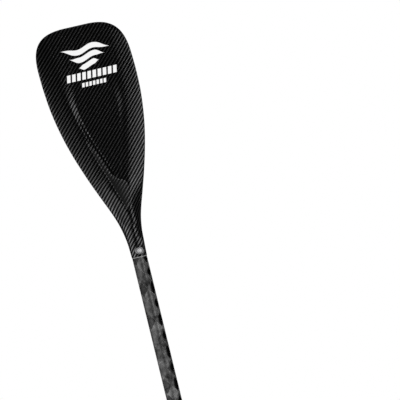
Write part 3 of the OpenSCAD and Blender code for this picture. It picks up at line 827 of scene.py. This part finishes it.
def eased(node, slot, width, cuts=()):
    """A hard CAD node again, its edges broken as a mould or a file leaves them, and cut at some heights."""
    mesh = frame["nodes"][node].data.copy()
    shape = bmesh.new()
    shape.from_mesh(mesh)
    bmesh.ops.remove_doubles(shape, verts=shape.verts, dist=WELD_REACH)
    bmesh.ops.dissolve_limit(shape, angle_limit=FLAT_ANGLE, verts=shape.verts, edges=shape.edges)
    for z in cuts:
        everything = [*shape.verts, *shape.edges, *shape.faces]
        bmesh.ops.bisect_plane(shape, geom=everything, plane_co=(0, 0, z), plane_no=(0, 0, 1))
    shape.to_mesh(mesh)
    shape.free()
    mesh.materials.clear()
    mesh.materials.append(looks[slot])
    mesh.polygons.foreach_set("use_smooth", [True] * len(mesh.polygons))
    mesh.set_sharp_from_angle(angle=EDGE_ANGLE)
    piece = bpy.data.objects.new(node + "_finished", mesh)
    bpy.context.scene.collection.objects.link(piece)
    bevel = piece.modifiers.new("edges", "BEVEL")
    bevel.width, bevel.segments, bevel.limit_method = width, 2, "ANGLE"
    bevel.angle_limit = EDGE_ANGLE
    bevel.harden_normals = True
    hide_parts(node)
    return piece


def bending_spring():
    """The U-shaped spring, its edges broken and cut at nine even heights up its front leg, above the end of
    the bend at its bottom.
    """
    low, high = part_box("snap_spring")
    foot = Vector((0, low.y, low.z + high.y))  # of the front leg, where the bend at the bottom ends
    bend_end = BUTTON_Z - 5 * MM  # the highest of the cuts
    reach = bend_end - foot.z
    bends = 9
    cuts = [foot.z + reach * i / bends for i in range(1, bends + 1)]
    spring = eased("snap_spring", "spring_steel", 0.12 * MM, cuts)
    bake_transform(spring)


# ---- materials, by slot ----

PRINT_T = 386  # the printed mark's place along the blade
looks = {
    "carbon_twill": twill_material("carbon_twill", TOW, mark_height=cloth_height(PRINT_T)),
    "carbon_wound": wound_material("carbon_wound", SHAFT_R),
    "carbon_plain": twill_material("carbon_plain", 2 * math.pi * EXTENSION_R / TUBE_TOWS, EXTENSION_R),
    "foam": foam_material("foam", (0.72, 0.7, 0.6), cell=0.9 * MM),
    "pale_ring": moulded_material("pale_ring", grey(0.32), rough=0.5, grain=900.0, vary=0.3, depth=0.02 * MM),
    "bright_rim": metal_material("bright_rim", (0.5, 0.5, 0.51), rough=0.3, along=(1.0, 1.0, 0.1), vary=0.25,
                                 metallic=0.75),
    "polished_steel": metal_material("polished_steel", (0.95, 0.95, 0.96), rough=0.2, along=(0.1, 1.0, 1.0),
                                     vary=0.06, metallic=0.6),
    "spring_steel": metal_material("spring_steel", (0.6, 0.6, 0.62), rough=0.28, along=(1.0, 1.0, 0.08),
                                   vary=0.2),
    "black_nylon": moulded_material("black_nylon", (0.02, 0.02, 0.021), rough=0.5, grain=700.0, vary=0.35,
                                    depth=0.03 * MM),
    "grey_nylon": moulded_material("grey_nylon", (0.24, 0.245, 0.245), rough=0.5, grain=700.0, vary=0.2,
                                   depth=0.03 * MM),
    "soft_grip": rubber_material("soft_grip", (0.03, 0.03, 0.032), pebble=1.4 * MM),
}
back_twill = twill_material("carbon_twill_back", TOW)

# ---- blade and shaft ----

settle(blade_skin("blade_face", -1, looks["carbon_twill"]), "blade", "blade_face_skin")
settle(blade_skin("blade_rear", 1, back_twill), "blade", "blade_back_skin")
settle(blade_filling("blade_filling", looks["foam"]), "blade", "blade_core")
settle(neck_ring(looks["pale_ring"]), "blade", "neck_end_ring")
settle(button_eyelet(looks["bright_rim"]), "blade", "button_eyelet")
settle(snap_button(looks["polished_steel"]), "button", "snap_button")
settle(shaft_tube(looks["carbon_wound"]), "shaft", "lower_shaft")

# ---- clamp, extension, handle and spring ----

for node, body, slot, width in (
    ("clamp_collar", "shaft", "black_nylon", 0.7 * MM),
    ("clamp_lever", "lever", "black_nylon", 0.6 * MM),
    ("clamp_pad", "shaft", "grey_nylon", 0.25 * MM),
    ("clamp_barrel", "shaft", "spring_steel", 0.3 * MM),
    ("clamp_bolt", "shaft", "spring_steel", 0.25 * MM),
    ("clamp_washer", "shaft", "spring_steel", 0.15 * MM),
    ("extension_end_bush", "handle", "grey_nylon", 0.3 * MM),
    ("handle_front_shell", "handle", "black_nylon", 0.35 * MM),
    ("handle_back_shell", "handle", "black_nylon", 0.35 * MM),
    ("handle_mouth_ring", "handle", "black_nylon", 0.5 * MM),
    ("handle_palm_pad", "handle", "soft_grip", 0.4 * MM),
):
    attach(eased(node, slot, width), body)
bending_spring()

# every CAD node gets its slot's material, for those that nothing above replaces
for part in frame["record"]["subparts"]:
    slots = frame["nodes"][part["node"]].data.materials
    slots.clear()
    slots.append(looks[part["material_slot"]])

# ---- stage and light ----

FLOOR_REACH = 12
PANEL_DISTANCE = 2.2


def add_floor():
    """The ground under the handle, which goes down with it as the paddle is made longer."""
    mesh = bpy.data.meshes.new("floor")
    corners = [(-1, -1), (1, -1), (1, 1), (-1, 1)]
    mesh.from_pydata([(x * FLOOR_REACH, y * FLOOR_REACH, FLOOR_Z) for x, y in corners], [], [(0, 1, 2, 3)])
    mesh.materials.append(floor_material())
    floor = bpy.data.objects.new("floor", mesh)
    bpy.context.scene.collection.objects.link(floor)
    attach(floor, "handle")


def add_panel(name, azimuths, heights, radiance):
    """An upright soft light standing round the paddle, from one azimuth in degrees and height to another."""
    centre, half = math.radians(sum(azimuths) / 2), math.radians(azimuths[1] - azimuths[0]) / 2
    width, height = 2 * PANEL_DISTANCE * math.tan(half), heights[1] - heights[0]
    data = bpy.data.lights.new(name, "AREA")
    data.shape, data.size, data.size_y = "RECTANGLE", width, height
    data.energy = radiance * math.pi * width * height
    away = Vector((math.sin(centre), -math.cos(centre), 0))
    light = bpy.data.objects.new(name, data)
    light.location = away * PANEL_DISTANCE + Vector((0, 0, sum(heights) / 2))
    light.rotation_mode = "QUATERNION"
    light.rotation_quaternion = away.to_track_quat("Z", "Y")
    bpy.context.scene.collection.objects.link(light)


def add_world():
    """A white room that glossy surfaces see as a dark one."""
    world = bpy.data.worlds.new("studio")
    bpy.context.scene.world = world
    world.use_nodes = True
    nodes, links = world.node_tree.nodes, world.node_tree.links
    white = nodes["Background"]
    white.inputs["Color"].default_value = (1, 1, 1, 1)
    dark = nodes.new("ShaderNodeBackground")
    dark.inputs["Color"].default_value = (*grey(ROOM_GLOSS), 1)
    mix = nodes.new("ShaderNodeMixShader")
    links.new(nodes.new("ShaderNodeLightPath").outputs["Is Glossy Ray"], mix.inputs[0])
    links.new(white.outputs[0], mix.inputs[1])
    links.new(dark.outputs[0], mix.inputs[2])
    links.new(mix.outputs[0], nodes["World Output"].inputs[0])


add_floor()
add_panel("right_high", (35, 60), (0.75, 1.85), 0.51)
add_panel("ridge_line", (10, 28), (0.33, 0.75), 0.8)
add_panel("left_high", (-66, -14), (0.75, 1.8), 0.29)
add_panel("left_low", (-70, -34), (-0.3, 0.75), 0.36)
add_panel("left_far", (-112, -66), (0.2, 2.0), 0.2)
add_panel("left_edge", (-118, -70), (-0.3, 0.5), 0.34)
add_panel("right_low", (12, 92), (-0.3, 0.33), 0.34)
add_panel("top", (8, 30), (2.25, 3.4), 0.1)
add_panel("back_right", (124, 142), (-0.75, 0.1), 0.2)
add_panel("back_left", (-172, -150), (-0.75, 0.1), 0.3)
add_world()
bpy.context.scene.view_settings.view_transform = "Standard"
